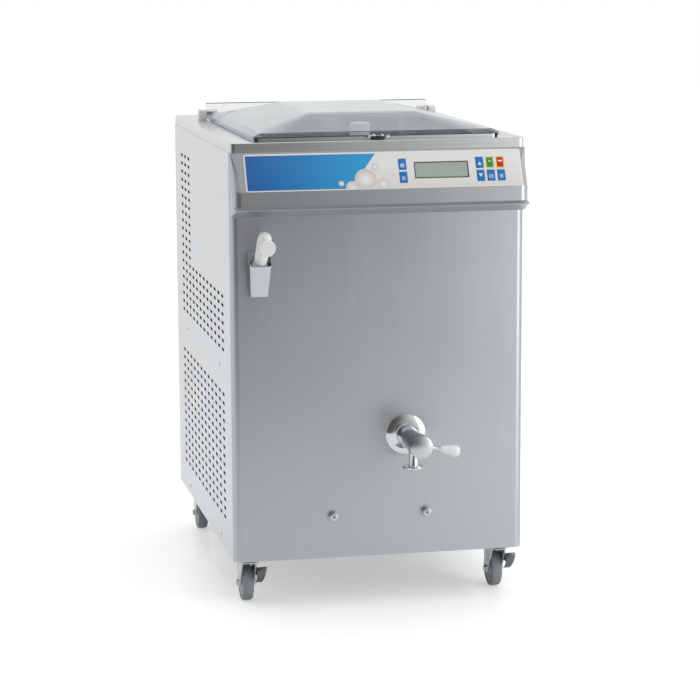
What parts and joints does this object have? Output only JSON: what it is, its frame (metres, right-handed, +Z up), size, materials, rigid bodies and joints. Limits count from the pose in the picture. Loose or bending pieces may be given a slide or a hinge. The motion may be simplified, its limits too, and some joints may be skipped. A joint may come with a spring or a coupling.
{
  "type": "ice cream pasteurizer",
  "caption": "Stainless steel batch pasteurizer on castors with hinged tank lid, sloped control panel, front draw-off tap, hand shower and side vents.",
  "frame": {"origin": "on the floor, under the middle of the whole footprint with tap and rear fittings", "axes": "+Z up, front with tap and controls towards -Y, +X to the right as seen from the front"},
  "size_m": [0.654, 1.038, 1.077],
  "materials": {
    "steel_frame": "welded steel frame, satin grey",
    "brushed_panel": "brushed stainless steel sheet",
    "bright_steel": "polished stainless steel",
    "label_film": "printed polyester front label, blue on white",
    "clear_lid": "clear polycarbonate, vacuum formed",
    "display_glass": "clear display window with a pale green screen behind it",
    "circuit_board": "green circuit board",
    "key_blue": "blue membrane key",
    "key_green": "green membrane key with yellow border",
    "key_red": "red membrane key with yellow border",
    "white_plastic": "white moulded plastic",
    "black_plastic": "black moulded plastic",
    "grey_foam": "insulating foam jacket",
    "rubber_seal": "black flat seal",
    "motor_paint": "black enamel",
    "coil_fins": "aluminium fins on copper tube",
    "box_grey": "light grey plastic enclosure",
    "brass_fitting": "turned brass",
    "zinc_steel": "bright zinc plated pressed steel",
    "wheel_plastic": "pale moulded wheel centre",
    "grey_tyre": "grey non-marking rubber tread"
  },
  "bodies": {
    "cabinet": {"frame": "steel_frame", "front_panel": "brushed_panel", "side_panel_left": "brushed_panel", "side_panel_right": "brushed_panel", "rear_panel": "brushed_panel", "top_plate": "brushed_panel", "panel_screws": "bright_steel", "shelf_studs": "bright_steel", "control_hood": "brushed_panel", "label_panel": "label_film", "display_window": "display_glass", "control_board": "circuit_board", "tank": "bright_steel", "tank_jacket": "grey_foam", "lid_seal": "rubber_seal", "drive_motor": "motor_paint", "compressor": "motor_paint", "condenser": "coil_fins", "fan_motor": "motor_paint", "electrical_box": "box_grey", "hinge_blocks": "white_plastic", "tap_flange": "bright_steel", "tap_body": "bright_steel", "shower_holder": "bright_steel", "castor_plates": "steel_frame", "water_inlet": "brass_fitting", "cable_gland": "black_plastic"},
    "lid": {"lid_shell": "clear_lid", "lid_grip": "black_plastic", "hinge_pins": "bright_steel"},
    "agitator_set": {"agitator": "bright_steel", "agitator_knob": "white_plastic"},
    "fan_rotor": {"fan": "black_plastic"},
    "tap_valve": {"tap_plug": "bright_steel", "tap_lever": "bright_steel", "tap_knob": "white_plastic"},
    "shower": {"shower_body": "white_plastic", "shower_head": "white_plastic"},
    "key_program_cap": {"key_program": "key_blue"},
    "key_memory_cap": {"key_memory": "key_blue"},
    "key_up_cap": {"key_up": "key_blue"},
    "key_start_cap": {"key_start": "key_green"},
    "key_stop_cap": {"key_stop": "key_red"},
    "key_down_cap": {"key_down": "key_blue"},
    "key_confirm_cap": {"key_confirm": "key_blue"},
    "key_setup_cap": {"key_setup": "key_blue"},
    "fork_front_left": {"castor_fork_front_left": "zinc_steel"},
    "wheel_front_left": {"castor_wheel_front_left": "wheel_plastic", "castor_tyre_front_left": "grey_tyre"},
    "pedal_front_left": {"brake_pedal_front_left": "zinc_steel"},
    "fork_front_right": {"castor_fork_front_right": "zinc_steel"},
    "wheel_front_right": {"castor_wheel_front_right": "wheel_plastic", "castor_tyre_front_right": "grey_tyre"},
    "pedal_front_right": {"brake_pedal_front_right": "zinc_steel"},
    "fork_rear_left": {"castor_fork_rear_left": "zinc_steel"},
    "wheel_rear_left": {"castor_wheel_rear_left": "wheel_plastic", "castor_tyre_rear_left": "grey_tyre"},
    "fork_rear_right": {"castor_fork_rear_right": "zinc_steel"},
    "wheel_rear_right": {"castor_wheel_rear_right": "wheel_plastic", "castor_tyre_rear_right": "grey_tyre"}
  },
  "joints": [
    {"name": "lid_hinge", "type": "hinge", "parent": "cabinet", "child": "lid", "pos_m": [0, 0.3195, 1.044], "axis": [-1, 0, 0], "range_deg": [0, 100]},
    {"name": "tap_turn", "type": "hinge", "parent": "cabinet", "child": "tap_valve", "pos_m": [0.058, -0.454, 0.381], "axis": [0, 1, 0], "range_deg": [0, 90]},
    {"name": "agitator_spin", "type": "hinge", "parent": "cabinet", "child": "agitator_set", "pos_m": [0.058, 0.1035, 0.5], "axis": [0, 0, 1], "continuous": true},
    {"name": "fan_spin", "type": "hinge", "parent": "cabinet", "child": "fan_rotor", "pos_m": [-0.229, -0.064, 0.299], "axis": [1, 0, 0], "continuous": true},
    {"name": "shower_lift", "type": "slide", "parent": "cabinet", "child": "shower", "axis": [0, -0.4384, 0.8988], "range_m": [0, 0.024]},
    {"name": "key_program_press", "type": "slide", "parent": "cabinet", "child": "key_program_cap", "axis": [0, 0.8944, -0.4472], "range_m": [0, 0.0006], "stiffness_N_per_m": 400},
    {"name": "key_memory_press", "type": "slide", "parent": "cabinet", "child": "key_memory_cap", "axis": [0, 0.8944, -0.4472], "range_m": [0, 0.0006], "stiffness_N_per_m": 400},
    {"name": "key_up_press", "type": "slide", "parent": "cabinet", "child": "key_up_cap", "axis": [0, 0.8944, -0.4472], "range_m": [0, 0.0006], "stiffness_N_per_m": 400},
    {"name": "key_start_press", "type": "slide", "parent": "cabinet", "child": "key_start_cap", "axis": [0, 0.8944, -0.4472], "range_m": [0, 0.0006], "stiffness_N_per_m": 400},
    {"name": "key_stop_press", "type": "slide", "parent": "cabinet", "child": "key_stop_cap", "axis": [0, 0.8944, -0.4472], "range_m": [0, 0.0006], "stiffness_N_per_m": 400},
    {"name": "key_down_press", "type": "slide", "parent": "cabinet", "child": "key_down_cap", "axis": [0, 0.8944, -0.4472], "range_m": [0, 0.0006], "stiffness_N_per_m": 400},
    {"name": "key_confirm_press", "type": "slide", "parent": "cabinet", "child": "key_confirm_cap", "axis": [0, 0.8944, -0.4472], "range_m": [0, 0.0006], "stiffness_N_per_m": 400},
    {"name": "key_setup_press", "type": "slide", "parent": "cabinet", "child": "key_setup_cap", "axis": [0, 0.8944, -0.4472], "range_m": [0, 0.0006], "stiffness_N_per_m": 400},
    {"name": "castor_swivel_front_left", "type": "hinge", "parent": "cabinet", "child": "fork_front_left", "pos_m": [-0.285, -0.2945, 0.095], "axis": [0, 0, 1], "continuous": true},
    {"name": "castor_roll_front_left", "type": "hinge", "parent": "fork_front_left", "child": "wheel_front_left", "pos_m": [-0.285, -0.2685, 0.04], "axis": [1, 0, 0], "continuous": true},
    {"name": "brake_pedal_press_front_left", "type": "hinge", "parent": "fork_front_left", "child": "pedal_front_left", "pos_m": [-0.258, -0.2905, 0.072], "axis": [1, 0, 0], "range_deg": [0, 18]},
    {"name": "castor_swivel_front_right", "type": "hinge", "parent": "cabinet", "child": "fork_front_right", "pos_m": [0.285, -0.2945, 0.095], "axis": [0, 0, 1], "continuous": true},
    {"name": "castor_roll_front_right", "type": "hinge", "parent": "fork_front_right", "child": "wheel_front_right", "pos_m": [0.285, -0.2685, 0.04], "axis": [1, 0, 0], "continuous": true},
    {"name": "brake_pedal_press_front_right", "type": "hinge", "parent": "fork_front_right", "child": "pedal_front_right", "pos_m": [0.312, -0.2905, 0.072], "axis": [1, 0, 0], "range_deg": [0, 18]},
    {"name": "castor_swivel_rear_left", "type": "hinge", "parent": "cabinet", "child": "fork_rear_left", "pos_m": [-0.285, 0.387, 0.095], "axis": [0, 0, 1], "continuous": true},
    {"name": "castor_roll_rear_left", "type": "hinge", "parent": "fork_rear_left", "child": "wheel_rear_left", "pos_m": [-0.285, 0.413, 0.04], "axis": [1, 0, 0], "continuous": true},
    {"name": "castor_swivel_rear_right", "type": "hinge", "parent": "cabinet", "child": "fork_rear_right", "pos_m": [0.285, 0.387, 0.095], "axis": [0, 0, 1], "continuous": true},
    {"name": "castor_roll_rear_right", "type": "hinge", "parent": "fork_rear_right", "child": "wheel_rear_right", "pos_m": [0.285, 0.413, 0.04], "axis": [1, 0, 0], "continuous": true}
  ]
}
